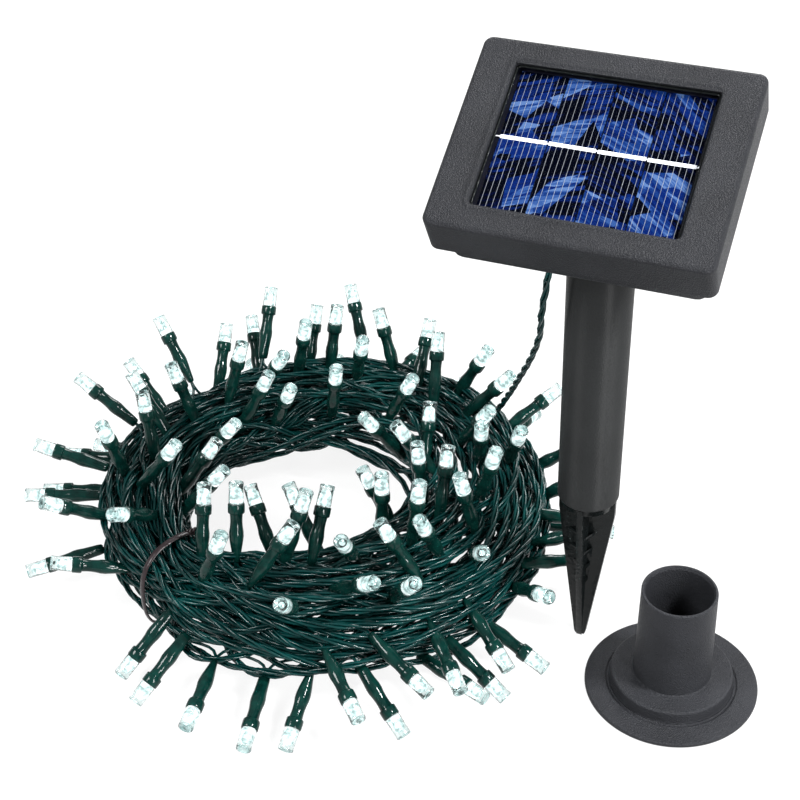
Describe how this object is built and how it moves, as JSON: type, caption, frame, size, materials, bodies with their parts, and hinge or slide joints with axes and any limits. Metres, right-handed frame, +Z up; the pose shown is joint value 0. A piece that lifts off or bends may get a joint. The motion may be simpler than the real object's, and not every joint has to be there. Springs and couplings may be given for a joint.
{
  "type": "solar string lights",
  "caption": "Solar panel head with battery on a pole and ground spike, a loose round base stand, and a coiled twisted cord of clear lamps in green sleeves.",
  "frame": {"origin": "the flat tip of the ground spike, on the pole's axis and at floor level", "axes": "+Z up along the pole; the base stand is towards +X -Y, the coil towards -X +Y; the head is turned 22 degrees clockwise about +Z seen from above, so its panel faces up and towards -Y -X"},
  "size_m": [0.2808, 0.2142, 0.2331],
  "materials": {
    "charcoal_plastic": "fine spark-grain moulded plastic",
    "black_plastic": "smooth moulded plastic",
    "black_rubber": "soft matt",
    "panel_glaze": "clear, glossy",
    "solar_cell": "polycrystalline silicon with printed fingers",
    "tinned_ribbon": "tinned copper",
    "circuit_board": "solder mask",
    "battery_jacket": "printed film without lettering",
    "steel": "zinc plated",
    "copper_winding": "enamelled copper",
    "cord_green": "semi-gloss PVC",
    "tie_brown": "paper and PVC over wire",
    "lamp_sleeve": "glossy moulded and shrunk PVC",
    "lamp_lens": "clear epoxy, lit cool white"
  },
  "bodies": {
    "root": {"tilt_knuckle": "charcoal_plastic", "lead_cord": "cord_green", "cord_coil": "cord_green", "twist_tie": "tie_brown", "lamp_sleeve_01": "lamp_sleeve", "lamp_sleeve_02": "lamp_sleeve", "lamp_sleeve_03": "lamp_sleeve", "lamp_sleeve_04": "lamp_sleeve", "lamp_sleeve_05": "lamp_sleeve", "lamp_sleeve_06": "lamp_sleeve", "lamp_sleeve_07": "lamp_sleeve", "lamp_sleeve_08": "lamp_sleeve", "lamp_sleeve_09": "lamp_sleeve", "lamp_sleeve_10": "lamp_sleeve", "lamp_lens_01": "lamp_lens", "lamp_lens_02": "lamp_lens", "lamp_lens_03": "lamp_lens", "lamp_lens_04": "lamp_lens", "lamp_lens_05": "lamp_lens", "lamp_lens_06": "lamp_lens", "lamp_lens_07": "lamp_lens", "lamp_lens_08": "lamp_lens", "lamp_lens_09": "lamp_lens", "lamp_lens_10": "lamp_lens"},
    "head": {"bezel_frame": "charcoal_plastic", "panel_glaze": "panel_glaze", "solar_cell_1": "solar_cell", "solar_cell_2": "solar_cell", "solar_cell_3": "solar_cell", "solar_cell_4": "solar_cell", "cell_ribbon": "tinned_ribbon", "panel_board": "circuit_board", "back_housing": "charcoal_plastic", "housing_screw_1": "steel", "housing_screw_2": "steel", "housing_screw_3": "steel", "housing_screw_4": "steel", "battery_cradle": "black_plastic", "battery_cell": "battery_jacket", "contact_plate_positive": "steel", "contact_plate_negative": "steel", "contact_spring": "steel", "door_hinge_pin": "steel", "circuit_board": "circuit_board", "driver_chip": "black_plastic", "boost_inductor": "copper_winding", "storage_capacitor": "steel", "switch_body": "steel", "button_switch": "black_plastic", "cable_grommet": "black_rubber", "hinge_bolt": "steel", "hinge_washer": "steel", "hinge_nut": "steel"},
    "battery_door": {"battery_door": "charcoal_plastic"},
    "power_slider": {"power_slider": "black_plastic"},
    "mode_button": {"mode_button": "black_plastic"},
    "pole": {"pole_tube": "charcoal_plastic"},
    "spike": {"ground_spike": "black_plastic"},
    "base_stand": {"base_stand": "charcoal_plastic"}
  },
  "joints": [
    {"name": "head_tilt", "type": "hinge", "parent": "root", "child": "head", "pos_m": [0, 0, 0.1895], "axis": [0.9272, -0.3746, 0], "range_deg": [-29, 35], "deforming": ["lead_cord"]},
    {"name": "door_swing", "type": "hinge", "parent": "head", "child": "battery_door", "pos_m": [0.00675, 0.0167, 0.20651], "axis": [0.9272, -0.3746, 0], "range_deg": [0, 100]},
    {"name": "slider_travel", "type": "slide", "parent": "head", "child": "power_slider", "axis": [0.9272, -0.3746, 0], "range_m": [0, 0.005]},
    {"name": "button_press", "type": "slide", "parent": "head", "child": "mode_button", "axis": [-0.1816, -0.4495, 0.8746], "range_m": [0, 0.0007], "stiffness_N_per_m": 500, "springref_m": -0.0006},
    {"name": "pole_swivel", "type": "hinge", "parent": "root", "child": "pole", "pos_m": [0, 0, 0.17], "axis": [0, 0, 1], "continuous": true},
    {"name": "spike_pull", "type": "slide", "parent": "pole", "child": "spike", "axis": [0, 0, -1], "range_m": [0, 0.021]},
    {"name": "stand_lift", "type": "slide", "parent": "root", "child": "base_stand", "axis": [0, 0, 1], "range_m": [0, 0.04]}
  ]
}
